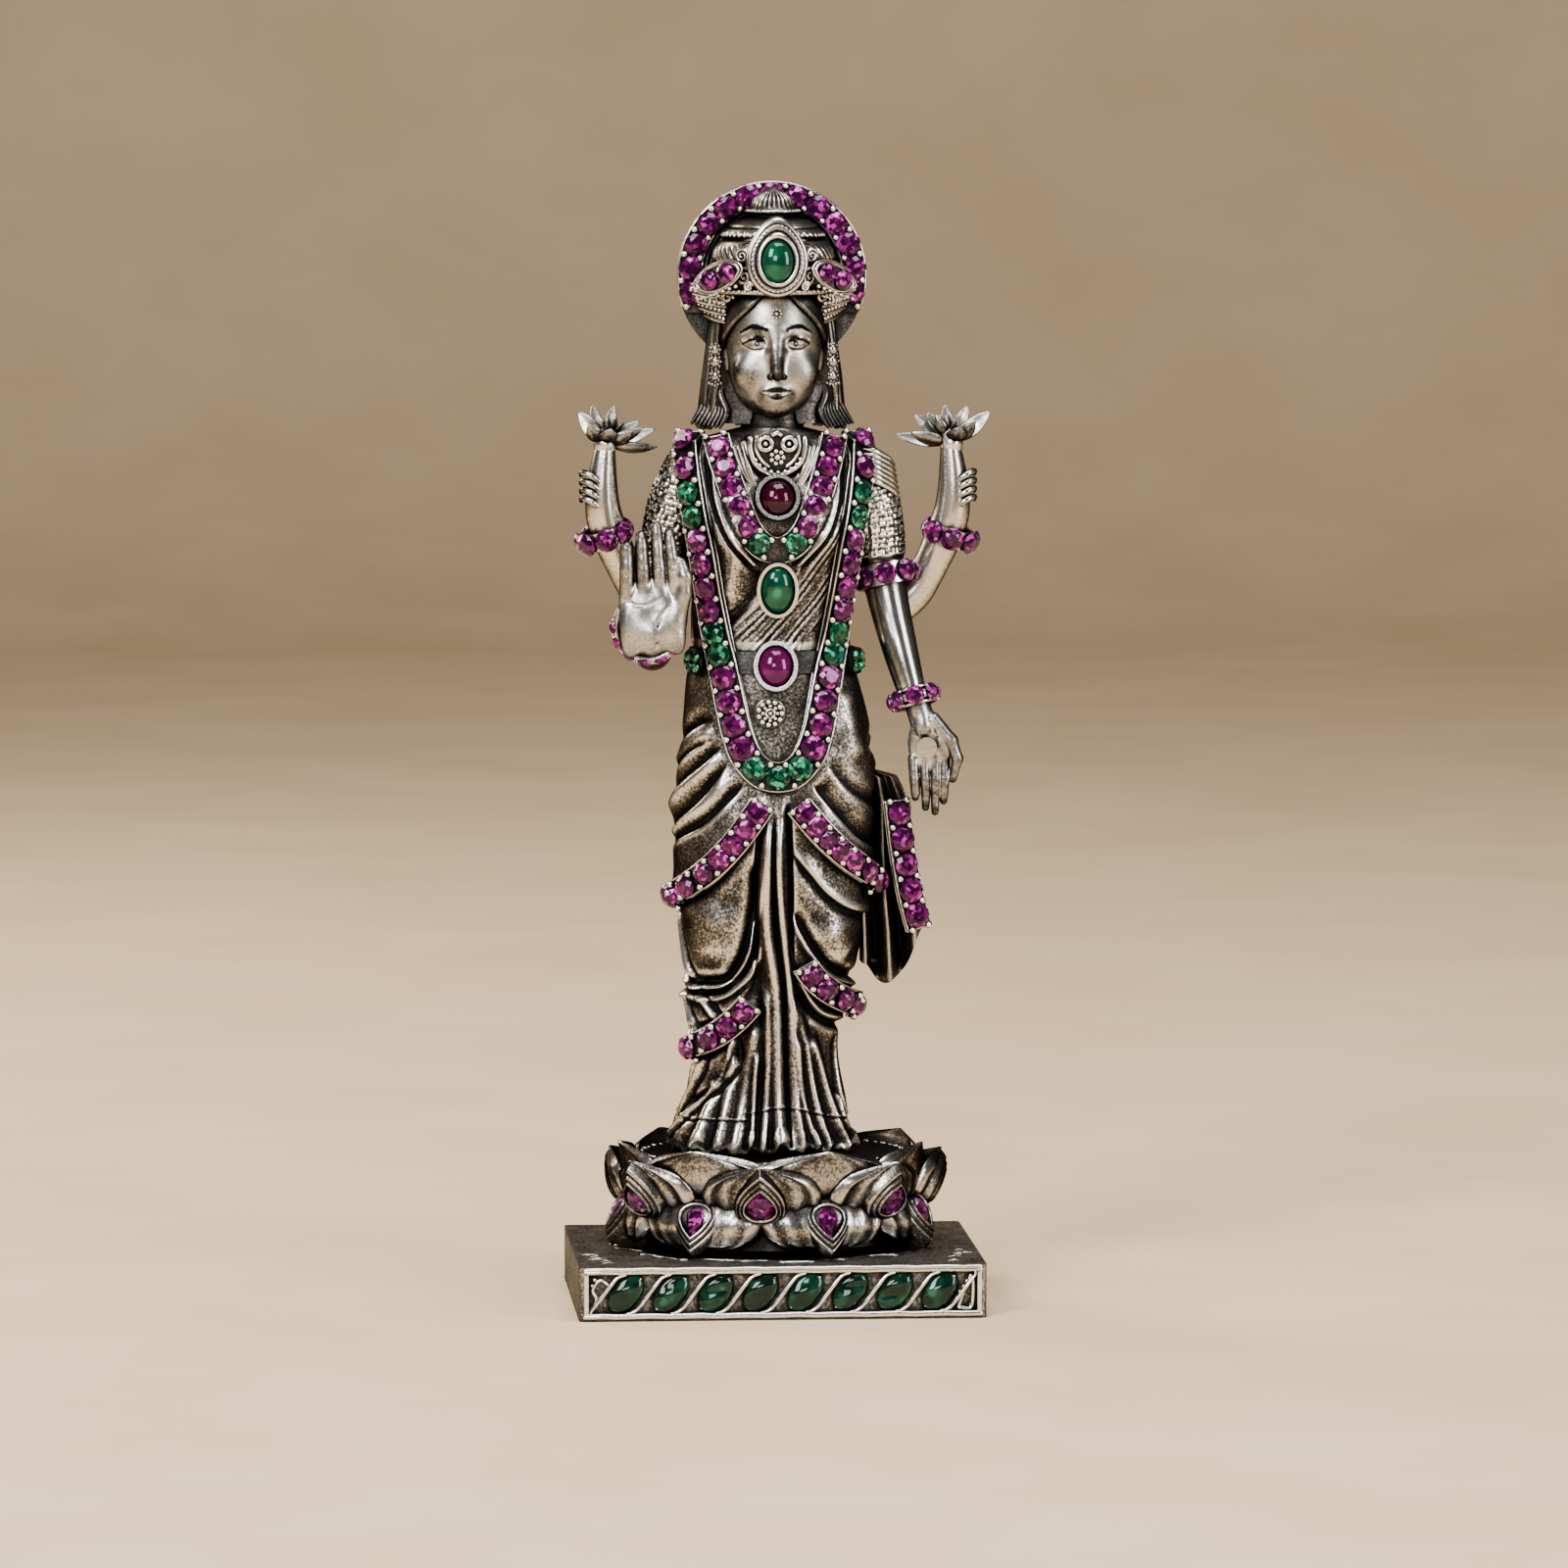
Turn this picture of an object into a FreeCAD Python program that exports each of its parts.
"""Standing four-armed goddess figurine in oxidised silver, set with coloured stones, on a lotus and plinth.

Units are millimetres. +Z is up and the figure faces -Y. The origin is the centre of the plinth's
resting face. "Left" and "right" in node names are the figure's own sides: its right hand is raised
at -X and its left hand hangs down at +X. Every cast, sheet or wire piece and every group of like
stones is a node of its own, the way the pieces lie on the bench before they are soldered and set.
"""
import FreeCAD
import Part
import math
import os

V = FreeCAD.Vector

# ---------------------------------------------------------------- driving dimensions
PLINTH_W = 45.0            # across the front
PLINTH_D = 34.0            # front to back
PLINTH_H = 6.0
PLINTH_WALL = 1.4
CLOSING_T = 0.8            # closing plate under the plinth
FRIEZE_DEPTH = 0.9         # recess in the plinth's front for the oval stones
FRIEZE_RIM = 0.8

LOTUS_FOLD = 7             # petals in each tier
LOTUS_TURN = -7.6          # bearing of the front upper petal, degrees from the front
LOTUS_FLAT = 0.78          # the lotus is an oval: depth over width
LOTUS_SEAT_Z = 16.6        # top of the seed pod, where the figure stands

WAIST_Z = 73.0             # the skirt ends and the torso starts
NECK_Z = 98.0              # the torso ends and the head starts
BODY_POWER = 2.3           # superellipse power of the body's sections

HALO_Z = 114.2
HALO_R = 9.15              # centre line of the halo's stone ring
HALO_W = 2.6
HALO_Y = 1.6               # front face of the halo plate
HEAD_Z = 106.8
CROWN_BASE_Z = 112.4

STRIP_T = 0.7              # thickness of the stone-set strips
GARLAND_W = 3.3
NECKLACE_W = 2.9
BORDER_W = 2.8
BEAD_R = 0.42              # grain beads that hold the small stones

# Figure sections from the hem up: height, centre x, half width, centre y, half depth
SKIRT = [
    (16.6, -1.1, 10.3, -0.4, 7.6),
    (21.0, -0.9, 9.3, -0.3, 6.9),
    (25.5, -0.6, 8.2, -0.2, 6.2),
    (30.5, -0.8, 8.2, -0.2, 6.2),
    (36.0, -0.4, 9.3, -0.2, 6.6),
    (42.0, 0.0, 10.1, -0.3, 7.0),
    (48.0, 0.0, 10.9, -0.4, 7.4),
    (54.0, 0.1, 11.3, -0.4, 7.7),
    (60.0, 0.4, 11.0, -0.3, 7.6),
    (66.0, 0.3, 10.2, -0.2, 7.1),
    (73.0, 0.0, 8.7, 0.0, 6.1),
]
TORSO = [
    (73.0, 0.0, 8.7, 0.0, 6.1),
    (78.0, 0.0, 8.9, -0.1, 6.2),
    (83.0, 0.0, 9.6, -0.3, 6.7),
    (88.0, 0.0, 10.2, -0.3, 6.9),
    (92.0, 0.0, 10.7, 0.0, 6.2),
    (95.5, 0.0, 10.3, 0.4, 5.2),
    (98.0, 0.0, 7.2, 0.6, 4.2),
]

# Front view half outlines of the hanging ornaments, x then z, from the shoulder to the middle
GARLAND = [
    (9.3, 96.9), (8.9, 90.8), (7.9, 85.2), (7.0, 79.6),
    (6.1, 74.1), (5.1, 68.3), (3.9, 62.8), (2.4, 60.2),
]
GARLAND_FOOT_Z = 59.2
NECKLACE = [(6.3, 96.2), (5.5, 93.2), (4.5, 90.2), (3.5, 87.6), (2.0, 85.2)]
NECKLACE_FOOT_Z = 84.3

# Sari borders on the skirt, x then z along the middle of each strip
BORDERS = {
    "right_thigh_border": [(-1.7, 56.2), (-5.0, 51.4), (-8.0, 48.0), (-11.4, 45.3)],
    "left_thigh_border": [(2.2, 56.0), (5.0, 52.6), (8.0, 49.6), (11.2, 46.9)],
    "right_shin_border": [(-2.9, 34.0), (-5.0, 31.5), (-7.4, 29.4), (-9.3, 28.2)],
    "left_shin_border": [(2.9, 38.2), (4.4, 36.2), (6.6, 34.5), (9.3, 33.0)],
}
BORDER_STONES = {
    "right_thigh_border": 7,
    "left_thigh_border": 7,
    "right_shin_border": 4,
    "left_shin_border": 4,
}

# Grain beads of every stone-set strip, gathered into one node
GRAINS = []

os.makedirs("parts", exist_ok=True)


# ---------------------------------------------------------------- helpers
def save(name, *solids):
    """Writes one node. Several solids make one node of separate solids."""
    flat = []
    for s in solids:
        flat += list(s.Solids)
    shape = flat[0] if len(flat) == 1 else Part.makeCompound(flat)
    assert all(s.isValid() and s.Volume > 0 for s in flat), name
    shape.exportStep(os.path.join("parts", name + ".step"))


def lerp(a, b, t):
    return a + (b - a) * t


def section_at(table, z):
    """Centre x, half width, centre y and half depth of a body table at a height."""
    z = min(max(z, table[0][0]), table[-1][0])
    for low, high in zip(table, table[1:]):
        if z <= high[0]:
            t = (z - low[0]) / (high[0] - low[0])
            return [lerp(p, q, t) for p, q in zip(low[1:], high[1:])]
    return list(table[-1][1:])


def front_y(x, z):
    """The body's front surface at a place in the front view."""
    cx, a, cy, b = section_at(SKIRT if z < WAIST_Z else TORSO, z)
    u = min(abs(x - cx) / a, 0.97)
    return cy - b * (1 - u ** BODY_POWER) ** (1 / BODY_POWER)


def front_normal(x, z):
    """Outward normal of the body's front surface."""
    step = 0.4
    slope_x = (front_y(x + step, z) - front_y(x - step, z)) / (2 * step)
    slope_z = (front_y(x, z + step) - front_y(x, z - step)) / (2 * step)
    n = V(slope_x, -1, slope_z)
    return n.normalize()


def on_body(x, z, off=0.0):
    """A point off the body's front surface, with the outward normal there."""
    n = front_normal(x, z)
    return V(x, front_y(x, z), z) + n * off, n


def oval_wire(z, cx, a, cy, b, power=BODY_POWER, count=28):
    points = []
    for i in range(count):
        t = 2 * math.pi * i / count
        c, s = math.cos(t), math.sin(t)
        x = cx + a * math.copysign(abs(c) ** (2 / power), c)
        y = cy + b * math.copysign(abs(s) ** (2 / power), s)
        points.append(V(x, y, z))
    curve = Part.BSplineCurve()
    curve.interpolate(points, PeriodicFlag=True)
    return Part.Wire(curve.toShape())


def body_loft(table, grow=0.0):
    wires = [oval_wire(z, cx, a + grow, cy, b + grow) for z, cx, a, cy, b in table]
    return Part.makeLoft(wires, True, False)


def tube(points, radii, flat=1.0):
    """A limb: a loft through circles square to the path, squeezed along Y by flat."""
    points = [V(*p) for p in points]
    wires = []
    for i, (p, r) in enumerate(zip(points, radii)):
        ahead = points[min(i + 1, len(points) - 1)]
        behind = points[max(i - 1, 0)]
        along = (ahead - behind).normalize()
        if flat == 1.0:
            wires.append(Part.Wire(Part.makeCircle(r, p, along)))
        else:
            side = along.cross(V(0, 1, 0)).normalize()
            ellipse = Part.Ellipse(p + side * r, p + V(0, 1, 0) * r * flat, p)
            wires.append(Part.Wire(ellipse.toShape()))
    return Part.makeLoft(wires, True, False)


def capsule(a, b, r0, r1):
    """A finger: a tapered rod with round ends."""
    a, b = V(*a), V(*b)
    rod = Part.makeCone(r0, r1, (b - a).Length, a, b - a)
    return rod.fuse([Part.makeSphere(r0, a), Part.makeSphere(r1, b)])


def ellipsoid(centre, rx, ry, rz):
    ball = Part.makeSphere(1.0)
    m = FreeCAD.Matrix()
    m.scale(rx, ry, rz)
    m.move(V(*centre))
    return ball.transformGeometry(m)


def square_to(n, hint=V(0, 0, 1)):
    """Two unit vectors square to n, the second as near to hint as it can be."""
    n = V(n).normalize()
    if abs(n.dot(hint)) > 0.95:
        hint = V(1, 0, 0)
    across = hint.cross(n).normalize()
    return across, n.cross(across).normalize()


def polyhedron(rings):
    """A closed solid from rings of equal length, capped at both ends."""
    faces = [Part.Face(Part.makePolygon(rings[0] + rings[0][:1]))]
    faces.append(Part.Face(Part.makePolygon(rings[-1] + rings[-1][:1])))
    for low, high in zip(rings, rings[1:]):
        for i in range(len(low)):
            j = (i + 1) % len(low)
            faces.append(Part.Face(Part.makePolygon([low[i], low[j], high[j], high[i], low[i]])))
    solid = Part.Solid(Part.makeShell(faces))
    if solid.Volume < 0:
        solid.reverse()
    return solid


def gem(p, n, r, long=1.0, sides=8, hint=V(0, 0, 1)):
    """A cut stone seated with its flat foot at p: foot, girdle and table along n, longer along hint."""
    across, up = square_to(n, hint)
    n = V(n).normalize()
    rings = []
    for share, height in ((0.72, 0.0), (1.0, 0.28), (1.0, 0.40), (0.58, 0.78)):
        ring = []
        for i in range(sides):
            t = 2 * math.pi * (i + 0.5) / sides
            offset = across * math.cos(t) + up * math.sin(t) * long
            ring.append(p + offset * (r * share) + n * (height * r))
        rings.append(ring)
    return polyhedron(rings)


def bead(p, n, r=BEAD_R):
    """A grain bead raised from the surface at p: most of a ball on a flat foot."""
    return Part.makeSphere(r, p + V(n) * (r * 0.5), V(n), -30, 90, 360)


def cabochon(p, n, rx, rz, height, hint=V(0, 0, 1)):
    """A domed oval stone with its flat foot at p."""
    dome = Part.makeSphere(1.0, V(0, 0, 0), V(0, 0, 1), 0, 90, 360)
    m = FreeCAD.Matrix()
    m.scale(rx, rz, height)
    return placed(dome.transformGeometry(m), p, n, hint)


def placed(shape, p, n, hint=V(0, 0, 1)):
    """Carries a shape built on the XY plane to p: Z goes to n, and Y as near as it can to hint."""
    across, up = square_to(n, hint)
    n = V(n).normalize()
    m = FreeCAD.Matrix(
        across.x, up.x, n.x, p.x,
        across.y, up.y, n.y, p.y,
        across.z, up.z, n.z, p.z,
        0, 0, 0, 1)
    out = shape.copy()
    out.transformShape(m)
    return out


def oval_prism(rx, ry, height, z=0.0):
    if rx >= ry:
        edge = Part.Ellipse(V(rx, 0, z), V(0, ry, z), V(0, 0, z)).toShape()
    else:
        edge = Part.Ellipse(V(0, ry, z), V(rx, 0, z), V(0, 0, z)).toShape()
    return Part.Face(Part.Wire(edge)).extrude(V(0, 0, height))


def bezel(p, n, rx, rz, wall, height, hint=V(0, 0, 1)):
    """A cup that holds one cabochon: a floor and an upright oval wall. Its stone's foot is on the floor."""
    floor = 0.35
    cup = oval_prism(rx + wall, rz + wall, height)
    cup = cup.cut(oval_prism(rx, rz, height, floor))
    return placed(cup, p, n, hint)


def spline_samples(points, count):
    """Points evenly spaced along a smooth curve through the given points, with the tangents there."""
    curve = Part.BSplineCurve()
    curve.interpolate([V(*p) for p in points])
    edge = curve.toShape()
    found = []
    for i in range(count):
        s = edge.Length * i / (count - 1)
        u = edge.getParameterByLength(s)
        found.append((edge.valueAt(u), V(edge.tangentAt(u)).normalize()))
    return found, edge.Length


def strip(stations, width, thick=STRIP_T):
    """A flat band through stations of (point, tangent, normal); the points are on its underside."""
    wires = []
    for p, t, n in stations:
        side = t.cross(n).normalize() * (width / 2)
        lift = V(n) * thick
        corners = [p - side, p + side, p + side + lift, p - side + lift]
        wires.append(Part.makePolygon(corners + corners[:1]))
    return Part.makeLoft(wires, True, True)


def body_stations(outline, count, off=0.15):
    """Stations of a strip that lies on the body's front, from its front view outline."""
    flat, length = spline_samples([(x, 0, z) for x, z in outline], count)
    stations = []
    for p, t in flat:
        q, n = on_body(p.x, p.z, off)
        along = (t - n * t.dot(n)).normalize()
        stations.append((q, along, n))
    return stations, length


def setting_points(stations, count, inset=0.5):
    """Evenly spaced places for stones along stations, and the places between neighbours."""
    def at(s):
        s = min(max(s, 0.0), len(stations) - 1.0)
        i = min(int(s), len(stations) - 2)
        f = s - i
        p0, t0, n0 = stations[i]
        p1, t1, n1 = stations[i + 1]
        return (lerp(p0, p1, f), lerp(t0, t1, f).normalize(), lerp(n0, n1, f).normalize())
    pitch = (len(stations) - 1) / (count - 1 + 2 * inset)
    stones = [at(pitch * (i + inset)) for i in range(count)]
    gaps = [at(pitch * (i + inset - 0.5)) for i in range(count + 1)]
    return stones, gaps


def set_strip(stations, count, width, stone_r, inset=0.5):
    """The band, its stones and its grain beads: two beads in each gap between stones."""
    stones, gaps = setting_points(stations, count, inset)
    gems = [gem(p + n * STRIP_T, n, stone_r, hint=t) for p, t, n in stones]
    beads = []
    for p, t, n in gaps:
        side = t.cross(n).normalize() * (width / 2 - BEAD_R * 0.95)
        for way in (-1, 1):
            beads.append(bead(p + side * way + n * STRIP_T, n))
    return strip(stations, width), gems, beads


# ---------------------------------------------------------------- plinth
def make_plinth():
    shell = Part.makeBox(PLINTH_W, PLINTH_D, PLINTH_H, V(-PLINTH_W / 2, -PLINTH_D / 2, 0))
    upright = [e for e in shell.Edges if abs(e.tangentAt(0).z) > 0.9]
    shell = shell.makeFillet(0.6, upright)
    cavity = Part.makeBox(PLINTH_W - 2 * PLINTH_WALL, PLINTH_D - 2 * PLINTH_WALL - FRIEZE_DEPTH,
                          PLINTH_H - PLINTH_WALL,
                          V(-PLINTH_W / 2 + PLINTH_WALL, -PLINTH_D / 2 + PLINTH_WALL + FRIEZE_DEPTH, 0))
    recess_w, recess_h = PLINTH_W - 2 * FRIEZE_RIM, PLINTH_H - 2 * FRIEZE_RIM
    recess = Part.makeBox(recess_w, FRIEZE_DEPTH, recess_h,
                          V(-recess_w / 2, -PLINTH_D / 2, FRIEZE_RIM))
    screw_hole = Part.makeCylinder(1.3, PLINTH_WALL, V(0, 0, PLINTH_H - PLINTH_WALL))
    save("plinth_shell", shell.cut([cavity, recess, screw_hole]))

    gap = 0.05
    plate_w = PLINTH_W - 2 * (PLINTH_WALL + gap)
    plate_d = PLINTH_D - 2 * (PLINTH_WALL + gap) - FRIEZE_DEPTH
    corner = V(-plate_w / 2, -PLINTH_D / 2 + PLINTH_WALL + FRIEZE_DEPTH + gap, 0)
    plate = Part.makeBox(plate_w, plate_d, CLOSING_T, corner)
    save("plinth_closing_plate", plate)

    # The screw that draws the lotus down on the plinth, hidden in the cavity
    head = Part.makeCylinder(2.2, 1.2, V(0, 0, PLINTH_H - PLINTH_WALL - 1.2))
    shank = Part.makeCylinder(1.15, 7.4, V(0, 0, PLINTH_H - PLINTH_WALL))
    slot = Part.makeBox(4.6, 0.5, 0.6, V(-2.3, -0.25, PLINTH_H - PLINTH_WALL - 1.2))
    save("lotus_clamp_screw", head.fuse(shank).cut(slot).removeSplitter())

    # Frieze: tilted oval stones with an S-shaped wire between each pair
    back = -PLINTH_D / 2 + FRIEZE_DEPTH
    mid_z = PLINTH_H / 2
    pitch, count, tilt = 4.95, 8, math.radians(52)
    lean = V(math.cos(tilt), 0, math.sin(tilt))
    stones, wires = [], []
    for i in range(count):
        x = (i - (count - 1) / 2) * pitch
        stones.append(cabochon(V(x, back, mid_z), V(0, -1, 0), 1.5, 2.3, 0.75, hint=lean))
    for i in range(count + 1):
        x = (i - count / 2) * pitch
        half = recess_h / 2
        bend = [V(x - 1.75, back, mid_z - half), V(x - 0.75, back, mid_z - 0.9),
                V(x + 0.75, back, mid_z + 0.9), V(x + 1.75, back, mid_z + half)]
        curve = Part.BSplineCurve()
        curve.interpolate(bend)
        left = curve.copy()
        right = curve.copy()
        left.translate(V(-0.17, 0, 0))
        right.translate(V(0.17, 0, 0))
        a, b = left.toShape(), right.toShape()
        foot = Part.makeLine(bend[0] + V(-0.17, 0, 0), bend[0] + V(0.17, 0, 0))
        top = Part.makeLine(bend[-1] + V(-0.17, 0, 0), bend[-1] + V(0.17, 0, 0))
        face = Part.Face(Part.Wire(Part.__sortEdges__([a, top, b, foot])))
        wires.append(face.extrude(V(0, -FRIEZE_DEPTH * 0.85, 0)))
    save("frieze_green_ovals", *stones)
    save("frieze_scroll_wires", *wires)


# ---------------------------------------------------------------- lotus
def petal(bearing, path, widths, thick):
    """A thick petal: lens sections square to its path. The path is radius and height from the root."""
    a = math.radians(bearing)
    out = V(math.sin(a), -math.cos(a), 0)
    side = V(math.cos(a), math.sin(a), 0)
    wires = []
    for i, ((r, z), w) in enumerate(zip(path, widths)):
        r1, z1 = path[min(i + 1, len(path) - 1)]
        r0, z0 = path[max(i - 1, 0)]
        along = (out * (r1 - r0) + V(0, 0, z1 - z0)).normalize()
        n = side.cross(along).normalize()
        centre = out * r + V(0, 0, z)
        points = []
        for k in range(12):
            t = 2 * math.pi * k / 12
            cup = 0.35 * w * math.cos(t) ** 2
            points.append(centre + side * (w * math.cos(t)) + n * (thick * math.sin(t) - cup * 0.5))
        curve = Part.BSplineCurve()
        curve.interpolate(points, PeriodicFlag=True)
        wires.append(Part.Wire(curve.toShape()))
    return Part.makeLoft(wires, True, False)


def squeeze(shape):
    m = FreeCAD.Matrix()
    m.scale(1, LOTUS_FLAT, 1)
    return shape.transformGeometry(m)


def petal_frame(bearing, r, z, rise):
    """A point on the squeezed lotus, with the normal of a petal face that leans back by rise degrees."""
    a, e = math.radians(bearing), math.radians(rise)
    out = V(math.sin(a), -math.cos(a) * LOTUS_FLAT, 0)
    level = V(math.sin(a) * LOTUS_FLAT, -math.cos(a), 0).normalize()
    return out * r + V(0, 0, z), (level * math.cos(e) + V(0, 0, math.sin(e))).normalize()


def make_lotus():
    core = [(0, 6.0), (13.0, 6.0), (14.2, 6.8), (13.0, 8.6), (11.4, 10.6), (12.4, 13.2), (14.4, 15.6),
            (14.2, LOTUS_SEAT_Z), (0, LOTUS_SEAT_Z)]
    profile = Part.makePolygon([V(r, 0, z) for r, z in core] + [V(0, 0, 6.0)])
    body = squeeze(Part.Face(profile).revolve(V(0, 0, 0), V(0, 0, 1), 360))
    body = body.cut(Part.makeCylinder(1.15, 6.2, V(0, 0, PLINTH_H)))
    save("lotus_seed_pod", body)

    step = 360 / LOTUS_FOLD
    lower_path = [(11.9, 11.4), (14.6, 11.2), (16.5, 9.4), (16.9, 7.6), (15.6, 6.3)]
    outer_path = [(12.2, 10.6), (15.0, 11.0), (17.2, 12.8), (18.6, 15.0), (19.4, 16.9)]
    inner_path = [(13.2, 12.6), (15.0, 13.6), (16.2, 15.2), (16.8, 16.6), (17.2, 17.8)]
    lower, outer, inner = [], [], []
    for i in range(LOTUS_FOLD):
        main = LOTUS_TURN + step * i
        between = main + step / 2
        lower.append(squeeze(petal(between, lower_path, (3.2, 6.0, 6.4, 4.6, 1.0), 0.9)))
        outer.append(squeeze(petal(main, outer_path, (3.0, 5.6, 6.6, 5.2, 0.9), 0.8)))
        inner.append(squeeze(petal(between, inner_path, (2.6, 4.8, 5.0, 3.8, 0.8), 0.6)))
    save("lotus_lower_petals", *lower)
    save("lotus_outer_petals", *outer)
    save("lotus_inner_petals", *inner)

    upper_cups, upper_stones, lower_cups, lower_stones = [], [], [], []
    for i in range(LOTUS_FOLD):
        p, n = petal_frame(LOTUS_TURN + step * i, 17.3, 12.6, -30)
        upper_cups.append(bezel(p, n, 1.75, 1.95, 0.3, 1.0))
        upper_stones.append(gem(p + n * 0.35, n, 1.7, long=1.12))
        p, n = petal_frame(LOTUS_TURN + step * (i + 0.5), 16.4, 9.9, 30)
        lower_cups.append(bezel(p, n, 1.65, 1.95, 0.3, 1.0))
        lower_stones.append(gem(p + n * 0.35, n, 1.6, long=1.18))
    save("lotus_petal_bezels", *(upper_cups + lower_cups))
    save("lotus_rubies", *(upper_stones + lower_stones))


# ---------------------------------------------------------------- figure
def make_body():
    skirt = body_loft(SKIRT)
    save("sari_skirt", skirt)
    torso = body_loft(TORSO)
    save("torso", torso)
    # Fan of pleats down the front of the skirt, standing proud of it
    sections = [(17.2, -1.2, 6.2), (24.0, -0.6, 4.0), (34.0, 0.1, 3.0), (46.0, 0.2, 2.5), (56.5, 0.1, 1.5)]
    wires = []
    for z, cx, half in sections:
        points = []
        for i in range(7):
            x = cx + half * (i / 3.0 - 1)
            points.append(V(x, front_y(x, z) - 0.75 * (1 - (i / 3.0 - 1) ** 4), z))
        front = Part.BSplineCurve()
        front.interpolate(points)
        back_y = front_y(cx, z) + 1.6
        a, b = points[0], points[-1]
        back_a, back_b = V(a.x, back_y, z), V(b.x, back_y, z)
        wires.append(Part.Wire([front.toShape(), Part.makeLine(b, back_b),
                                Part.makeLine(back_b, back_a), Part.makeLine(back_a, a)]))
    pleats = Part.makeLoft(wires, True, True).cut(skirt)
    save("front_pleats", max(pleats.Solids, key=lambda s: s.Volume))
    # Loose end of the sari that hangs at the left hip
    outline = [(11.2, 57.5), (13.0, 59.5), (15.0, 57.5), (17.1, 41.6), (16.2, 40.2), (14.4, 39.2),
               (12.8, 36.2), (10.6, 35.4), (9.6, 37.0)]
    face = Part.Face(Part.makePolygon([V(x, -2.6, z) for x, z in outline + outline[:1]]))
    save("sari_palla", face.extrude(V(0, 5.0, 0)).cut(skirt))
    # Belt round the waist
    belt_table = [(z, 0.0, 8.9 + 0.15 * (73 - z), 0.0, 6.4 + 0.15 * (73 - z)) for z in (70.6, 71.8, 73.0)]
    belt = body_loft(belt_table, grow=0.35).cut(skirt)
    save("belt", max(belt.Solids, key=lambda s: s.Volume))


def make_head():
    head = ellipsoid((0, -1.0, HEAD_Z), 5.5, 6.2, 8.3)
    neck = tube([(0, 0.4, NECK_Z), (0, 0.2, 100.5), (0, 0.0, 103.0)], [4.1, 3.6, 3.6])
    top = Part.makeBox(30, 30, 20, V(-15, -15, CROWN_BASE_Z))
    head = head.fuse(neck).cut(top)
    save("head", head)
    fall = [(0, 2.2, NECK_Z), (0, 2.0, 102.0), (0, 1.6, 107.0), (0, 1.2, CROWN_BASE_Z)]
    hair = tube(fall, [8.2, 7.7, 7.2, 6.4], flat=0.62)
    save("hair", hair.cut(head))
    ears = []
    for way in (-1, 1):
        ears.append(ellipsoid((way * 6.9, -2.6, 104.4), 0.75, 0.75, 2.0))
    save("earrings", *[e.cut(head).cut(hair) for e in ears])


def make_crown():
    rings = [(0, CROWN_BASE_Z), (6.6, CROWN_BASE_Z), (7.0, 113.6), (6.6, 115.2), (6.9, 116.0), (6.0, 118.4),
             (4.4, 120.2), (3.3, 120.8), (3.3, 121.4), (2.0, 122.6), (0.0, 124.2)]
    profile = Part.Face(Part.makePolygon([V(r, 0, z) for r, z in rings] + [V(0, 0, CROWN_BASE_Z)]))
    crown = profile.revolve(V(0, 0, 0), V(0, 0, 1), 360)
    crown.translate(V(0, -0.9, 0))
    back = Part.makeBox(40, 10, 40, V(-20, HALO_Y, 100))
    save("crown", crown.cut(back))

    plate = Part.makeCylinder(HALO_R + HALO_W / 2, 1.0, V(0, HALO_Y, HALO_Z), V(0, 1, 0))
    hair_room = Part.makeBox(40, 40, 20, V(-20, -20, 85))
    plate = plate.cut(hair_room)
    save("halo_plate", plate)
    ring = Part.makeCylinder(HALO_R + HALO_W / 2, 1.0, V(0, HALO_Y - 1.0, HALO_Z), V(0, 1, 0))
    ring = ring.cut(Part.makeCylinder(HALO_R - HALO_W / 2, 1.0, V(0, HALO_Y - 1.0, HALO_Z), V(0, 1, 0)))
    low = Part.makeBox(40, 40, 20, V(-20, -20, HALO_Z - 4.0 - 20))
    save("halo_ring", ring.cut(low))
    count, first, step = 13, -11.0, 16.83
    n = V(0, -1, 0)
    gems, beads = [], []
    for i in range(count + 1):
        a = math.radians(first + step * (i - 0.5))
        for r in (HALO_R - HALO_W / 2 + 0.4, HALO_R + HALO_W / 2 - 0.4):
            beads.append(bead(V(r * math.cos(a), HALO_Y - 1.0, HALO_Z + r * math.sin(a)), n))
    for i in range(count):
        a = math.radians(first + step * i)
        p = V(HALO_R * math.cos(a), HALO_Y - 1.0, HALO_Z + HALO_R * math.sin(a))
        gems.append(gem(p, n, 1.2, hint=V(-math.sin(a), 0, math.cos(a))))
    save("halo_rubies", *gems)
    GRAINS.extend(beads)

    # Front jewel of the crown and the two winged clusters beside it
    p, n = V(0, -7.6, 116.1), V(0, -1, 0.06).normalize()
    save("crown_jewel_bezel", bezel(p, n, 1.95, 2.5, 0.55, 1.1))
    save("crown_emerald", cabochon(p + n * 0.35, n, 1.9, 2.45, 1.3))
    wings, stones = [], []
    for way in (-1, 1):
        n = V(way * 0.62, -0.78, 0.06).normalize()
        p = V(way * 6.0, -5.3, 114.3)
        across, up = square_to(n)
        wings.append(placed(oval_prism(2.4, 1.55, 0.7), p, n))
        for shift in (-1.15, 1.15):
            q = p + across * shift + n * 0.7 + up * (-0.35 * shift * way)
            stones.append(gem(q, n, 0.95, long=1.15, hint=across * way + up * 0.5))
    save("crown_side_wings", *wings)
    save("crown_side_rubies", *stones)


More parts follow.
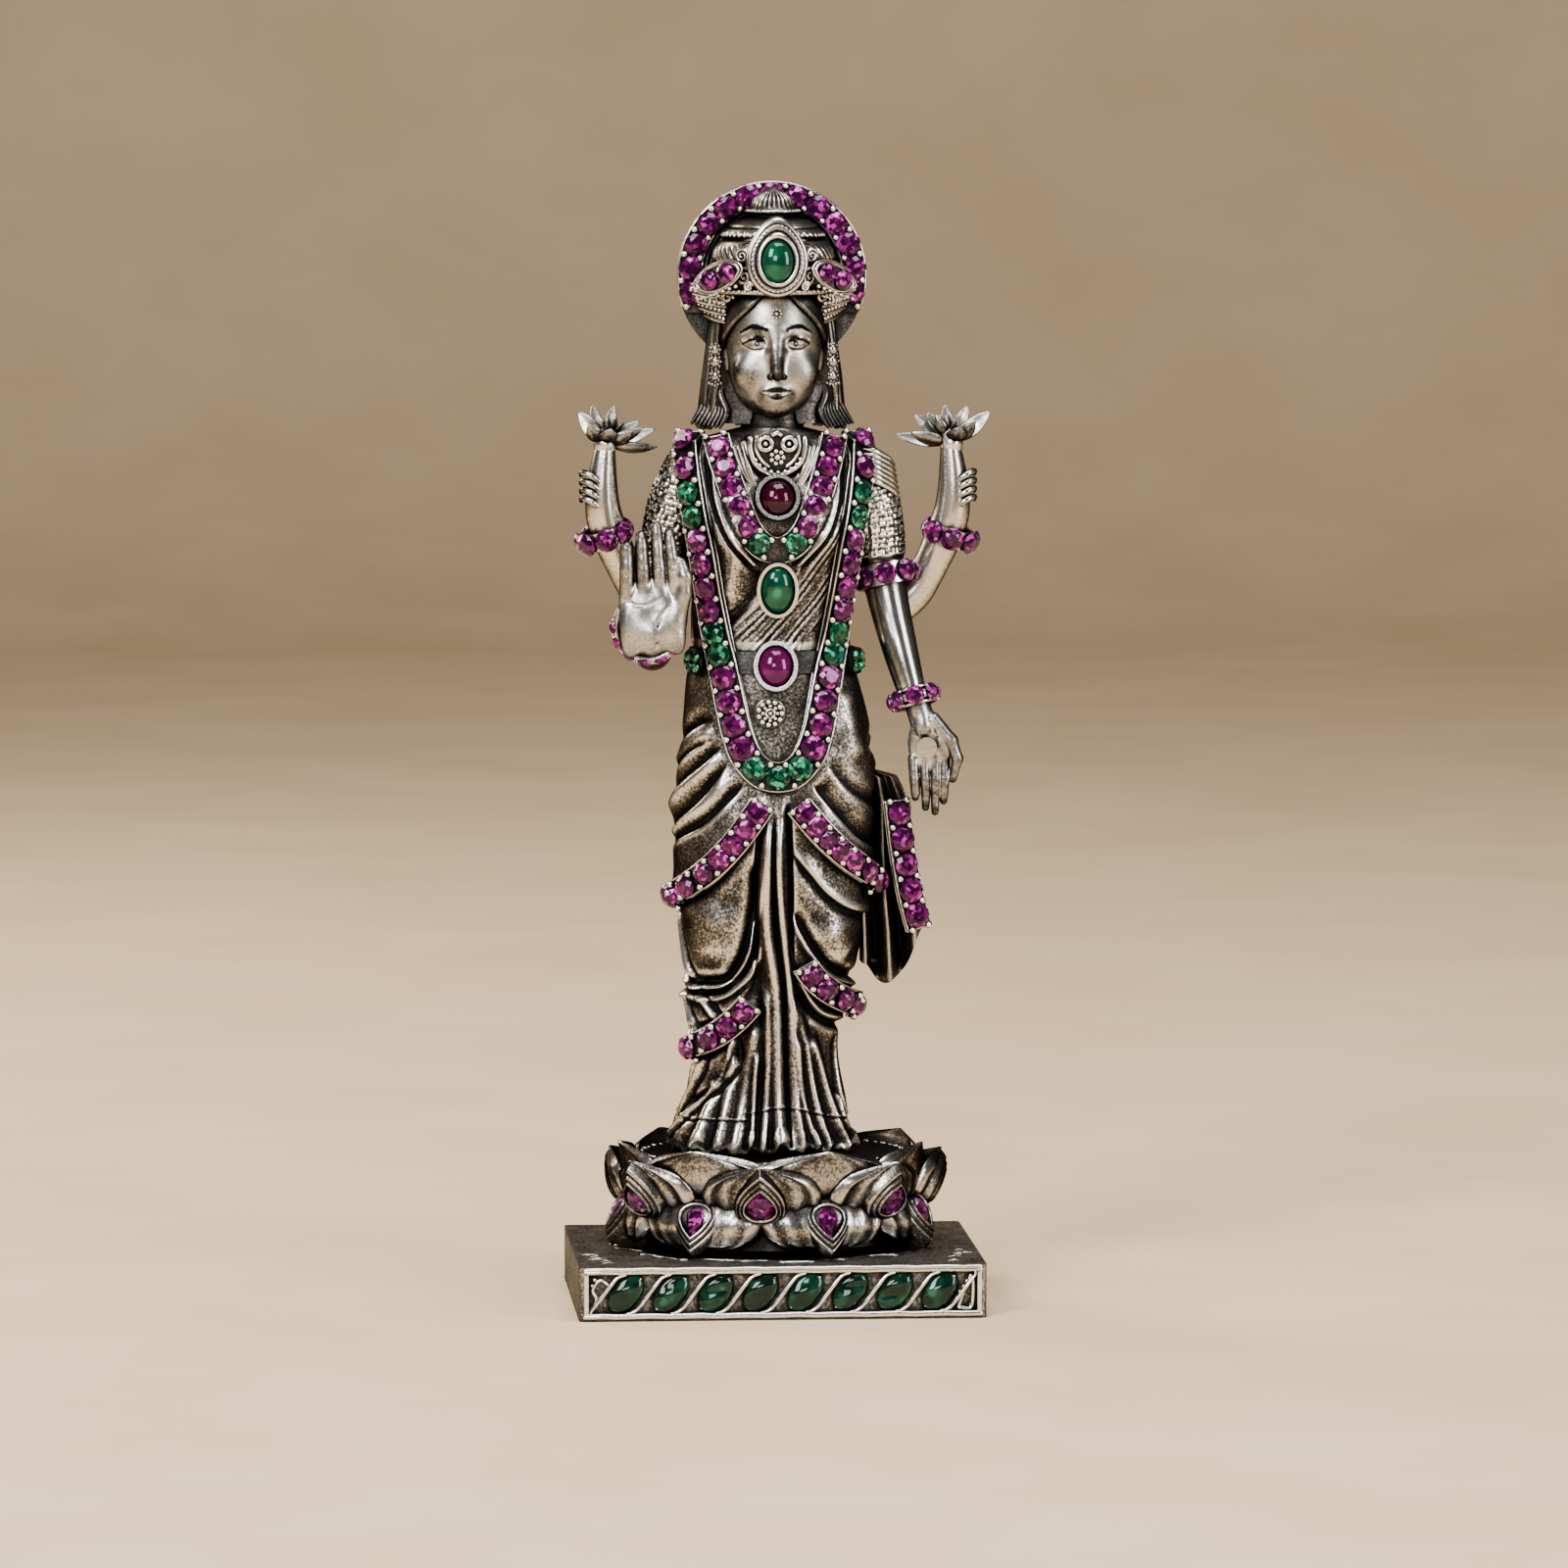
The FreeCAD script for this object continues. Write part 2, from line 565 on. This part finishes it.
def make_garlands():
    mirrored = [(-x, z) for x, z in reversed(GARLAND)]
    outline = GARLAND + [(0.0, GARLAND_FOOT_Z)] + mirrored
    stations, _ = body_stations(outline, 61, off=0.3)
    band, gems, beads = set_strip(stations, 31, GARLAND_W, 1.22)
    save("garland_band", band)
    # From either end: two red, two green, four red, two green, four red, then green at the foot
    order = "rrggrrrrggrrrrg"
    pattern = order + "g" + order[::-1]
    save("garland_rubies", *[g for g, c in zip(gems, pattern) if c == "r"])
    save("garland_emeralds", *[g for g, c in zip(gems, pattern) if c == "g"])
    GRAINS.extend(beads)

    mirrored = [(-x, z) for x, z in reversed(NECKLACE)]
    outline = NECKLACE + [(0.0, NECKLACE_FOOT_Z)] + mirrored
    stations, length = body_stations(outline, 41, off=0.2)
    band, gems, beads = set_strip(stations, 13, NECKLACE_W, 1.1)
    save("necklace_band", band)
    pattern = "rrrrrg.grrrrr"
    save("necklace_rubies", *[g for g, c in zip(gems, pattern) if c == "r"])
    save("necklace_emeralds", *[g for g, c in zip(gems, pattern) if c == "g"])
    GRAINS.extend(beads)


def make_pendants():
    p, n = on_body(0, 89.8, 0.6)
    upper_cup = bezel(p, n, 2.05, 2.15, 0.4, 1.2)
    save("garnet_cabochon", cabochon(p + n * 0.35, n, 2.0, 2.1, 1.7))
    p, n = on_body(0, 80.2, 0.9)
    middle_cup = bezel(p, n, 1.95, 2.75, 0.35, 1.2)
    save("emerald_cabochon", cabochon(p + n * 0.35, n, 1.9, 2.7, 1.5))
    save("pendant_bezels", upper_cup, middle_cup)
    p, n = on_body(-0.2, 71.2, 0.9)
    save("belt_buckle_bezel", bezel(p, n, 2.0, 2.35, 0.45, 1.3))
    save("buckle_cabochon", cabochon(p + n * 0.35, n, 1.95, 2.3, 1.6))
    p, n = on_body(-0.8, 66.2, 0.3)
    boss = [placed(Part.makeCylinder(0.75, 0.8), p, n)]
    across, up = square_to(n)
    for k in range(10):
        t = 2 * math.pi * k / 10
        boss.append(bead(p + (across * math.cos(t) + up * math.sin(t)) * 1.4, n, 0.42))
    save("belt_flower_boss", *boss)
    # Collar pendant: a flat crescent plate with two ring eyes
    p, n = on_body(0, 94.2, 0.4)
    plate = oval_prism(2.9, 1.9, 0.6).cut(oval_prism(2.0, 1.2, 0.6))
    plate = plate.fuse(oval_prism(0.7, 0.7, 0.9)).fuse(Part.makeBox(4.4, 0.5, 0.6, V(-2.2, -0.25, 0)))
    save("collar_pendant", placed(plate.removeSplitter(), p, n))
    # Green clusters at either end of the belt
    stones, cups = [], []
    for way in (-1, 1):
        a = math.radians(38)
        n = V(way * math.cos(a), -math.sin(a), 0)
        p = V(way * 8.7, -3.9, 71.8)
        across, up = square_to(n)
        cups.append(placed(Part.makeCylinder(1.5, 0.6), p, n))
        for k in range(4):
            t = math.pi / 4 + math.pi / 2 * k
            stones.append(gem(p + (across * math.cos(t) + up * math.sin(t)) * 0.82 + n * 0.6, n, 0.55))
    save("belt_cluster_plates", *cups)
    save("belt_emeralds", *stones)


def make_borders():
    bands, gems, beads = {"thigh": [], "shin": []}, [], []
    for name, outline in BORDERS.items():
        stations, length = body_stations(outline, 13, off=0.9)
        band, stones, grains = set_strip(stations, BORDER_STONES[name], BORDER_W, 1.12)
        bands["thigh" if "thigh" in name else "shin"].append(band)
        gems += stones
        beads += grains
    for place, pair in bands.items():
        save(place + "_borders", *pair)
    # The strip on the palla's outer edge lies in a plane that faces forwards
    n = V(0.25, -0.95, 0.1).normalize()
    edge = [(13.5, -2.9, 56.0), (14.0, -2.9, 51.6), (14.7, -2.9, 47.2), (16.0, -2.9, 41.8)]
    flat, _ = spline_samples(edge, 9)
    stations = [(p, (t - n * t.dot(n)).normalize(), n) for p, t in flat]
    band, stones, grains = set_strip(stations, 5, BORDER_W, 1.2)
    save("palla_border", band)
    save("border_rubies", *(gems + stones))
    GRAINS.extend(beads + grains)


# ---------------------------------------------------------------- arms, hands and what they hold
def bangle(centre, axis, inner, width, thick, count, stone_r, first=0.0):
    """A band round a limb with stones all round it: band and stones."""
    c, axis = V(*centre), V(*axis).normalize()
    across, up = square_to(axis, V(0, -1, 0))
    band = Part.makeCylinder(inner + thick, width, c - axis * (width / 2), axis)
    band = band.cut(Part.makeCylinder(inner, width, c - axis * (width / 2), axis))
    gems = []
    for k in range(count):
        t = first + 2 * math.pi * k / count
        out = across * math.cos(t) + up * math.sin(t)
        gems.append(gem(c + out * (inner + thick * 0.98), out, stone_r, hint=axis))
    return band, gems


def hand(palm, fingers, thumb):
    """Palm solid with tapered fingers and a thumb, as one casting."""
    digits = [capsule(*f) for f in fingers] + [capsule(*thumb)]
    return palm.fuse(digits).removeSplitter()


def make_arms():
    torso = body_loft(TORSO)
    skirt = body_loft(SKIRT)
    # Right front arm: upper arm down and back, forearm straight forwards, hand raised
    path = [
        (-9.0, 0.6, 93.4), (-10.9, 1.0, 88.0), (-12.2, 1.4, 81.0), (-12.9, 0.6, 75.6),
        (-13.4, -2.8, 72.9), (-13.9, -6.5, 72.3), (-14.2, -9.2, 72.6),
    ]
    arm = tube(path, [3.0, 2.9, 2.6, 2.4, 2.3, 2.1, 1.9])
    save("right_front_arm", arm.cut(torso).cut(skirt))
    path = [(-14.2, -10.6, 71.6), (-14.1, -11.5, 75.2), (-14.0, -11.9, 78.6), (-14.0, -12.0, 81.6)]
    palm = tube(path, [2.4, 3.5, 3.9, 3.7], flat=0.42)
    roots = [-17.0, -15.1, -13.2, -11.4]
    tips = [(-16.6, 85.4), (-14.9, 86.9), (-13.1, 88.0), (-11.6, 87.2)]
    fingers = [((x, -12.1, 81.0), (tx, -12.3, tz), 0.88, 0.68) for x, (tx, tz) in zip(roots, tips)]
    thumb = ((-11.6, -12.0, 77.6), (-10.3, -12.6, 83.4), 0.95, 0.75)
    save("right_front_hand", hand(palm, fingers, thumb))

    # Left front arm: hangs down a little outwards, hand open with the fingers down
    path = [
        (9.4, 0.2, 93.6), (11.3, 0.0, 88.0), (12.2, -0.3, 82.0),
        (12.9, -1.0, 78.0), (14.0, -2.6, 73.0), (15.2, -3.6, 68.4),
    ]
    arm = tube(path, [3.0, 2.9, 2.5, 2.15, 1.95, 1.6])
    save("left_front_arm", arm.cut(torso).cut(skirt))
    palm = tube([(15.9, -3.9, 67.2), (16.8, -4.3, 64.0), (17.2, -4.4, 61.2), (17.2, -4.4, 59.6)],
                [1.6, 2.6, 2.8, 2.6], flat=0.42)
    roots = [15.3, 16.5, 17.7, 18.9]
    ends = [56.6, 55.2, 54.6, 55.8]
    fingers = [((x, -4.5, 60.0), (x + 0.1, -4.2, z), 0.62, 0.48) for x, z in zip(roots, ends)]
    thumb = ((18.0, -4.5, 65.0), (20.0, -5.2, 59.4), 0.8, 0.6)
    save("left_front_hand", hand(palm, fingers, thumb))
    save("palm_coin", Part.makeCylinder(1.15, 0.4, V(16.7, -5.75, 62.2), V(0, -1, 0)))

    # Rear arms: down and out behind the front arms, then up to the hand that holds a lotus
    for name, way, reach in (("right", -1, 0.0), ("left", 1, 1.7)):
        elbow = 12.4 + reach
        wrist = 18.2 + reach
        joint = (way * elbow, 4.6, 77.0)
        upper = tube([(way * 8.6, 3.4, 91.5), (way * (elbow - 1.9), 4.4, 84.0), joint], [2.6, 2.4, 2.3])
        path = [
            joint, (way * (elbow + 3.2), 4.2, 80.6), (way * wrist, 3.6, 85.2),
            (way * (wrist + 0.7), 3.2, 88.4), (way * (wrist + 0.6), 3.0, 91.8),
            (way * (wrist + 0.2), 3.0, 95.2),
        ]
        fore = tube(path, [2.3, 2.2, 1.9, 1.9, 1.7, 1.4])
        arm = upper.fuse([fore, Part.makeSphere(2.4, V(*joint))])
        save(name + "_rear_arm", arm.cut(torso))

        # Lotus bloom: a short cone of petals that leans towards the head
        lean = V(-way * 0.42, 0, 0.91).normalize()
        root = V(way * (wrist + 0.2), 3.0, 95.2)
        cup = Part.makeCone(1.0, 2.0, 2.2, root, lean)
        petals = []
        for k in range(8):
            t = 2 * math.pi * k / 8
            across, up = square_to(lean, V(0, 1, 0))
            out = across * math.cos(t) + up * math.sin(t)
            base = root + lean * 1.4 + out * 1.0
            tip = root + lean * 3.4 + out * 4.6
            petals.append(capsule(tuple(base), tuple(tip), 0.7, 0.35))
        save(name + "_lotus_bloom", cup.fuse(petals).removeSplitter())


def make_bangles():
    gems = []
    # Node, middle, axis, inner radius, width, thickness, number of stones and their radius
    plan = [
        ("rear_bangles", (-18.5, 3.5, 85.2), (-0.30, -0.12, 0.94), 2.05, 2.0, 0.5, 7, 1.15),
        ("rear_bangles", (20.2, 3.5, 85.2), (0.30, -0.12, 0.94), 2.05, 2.0, 0.5, 7, 1.15),
        ("left_armband", (12.4, -0.4, 81.0), (0.20, -0.14, -0.97), 2.65, 2.4, 0.5, 8, 1.1),
        ("wrist_bangles", (15.5, -3.75, 67.6), (0.25, -0.2, -0.95), 1.85, 1.9, 0.5, 7, 0.95),
        ("wrist_bangles", (-14.15, -9.9, 72.4), (-0.06, -0.96, -0.22), 2.3, 1.3, 0.45, 9, 0.62),
    ]
    bands = {"rear_bangles": [], "wrist_bangles": [], "left_armband": []}
    for node, *spec in plan:
        band, stones = bangle(*spec, first=math.pi / 2)
        bands[node].append(band)
        gems += stones
    for node, rings in bands.items():
        save(node, *rings)
    save("bangle_rubies", *gems)


make_plinth()
make_lotus()
make_body()
make_head()
make_crown()
make_garlands()
make_pendants()
make_borders()
make_arms()
make_bangles()
save("grain_beads", *GRAINS)
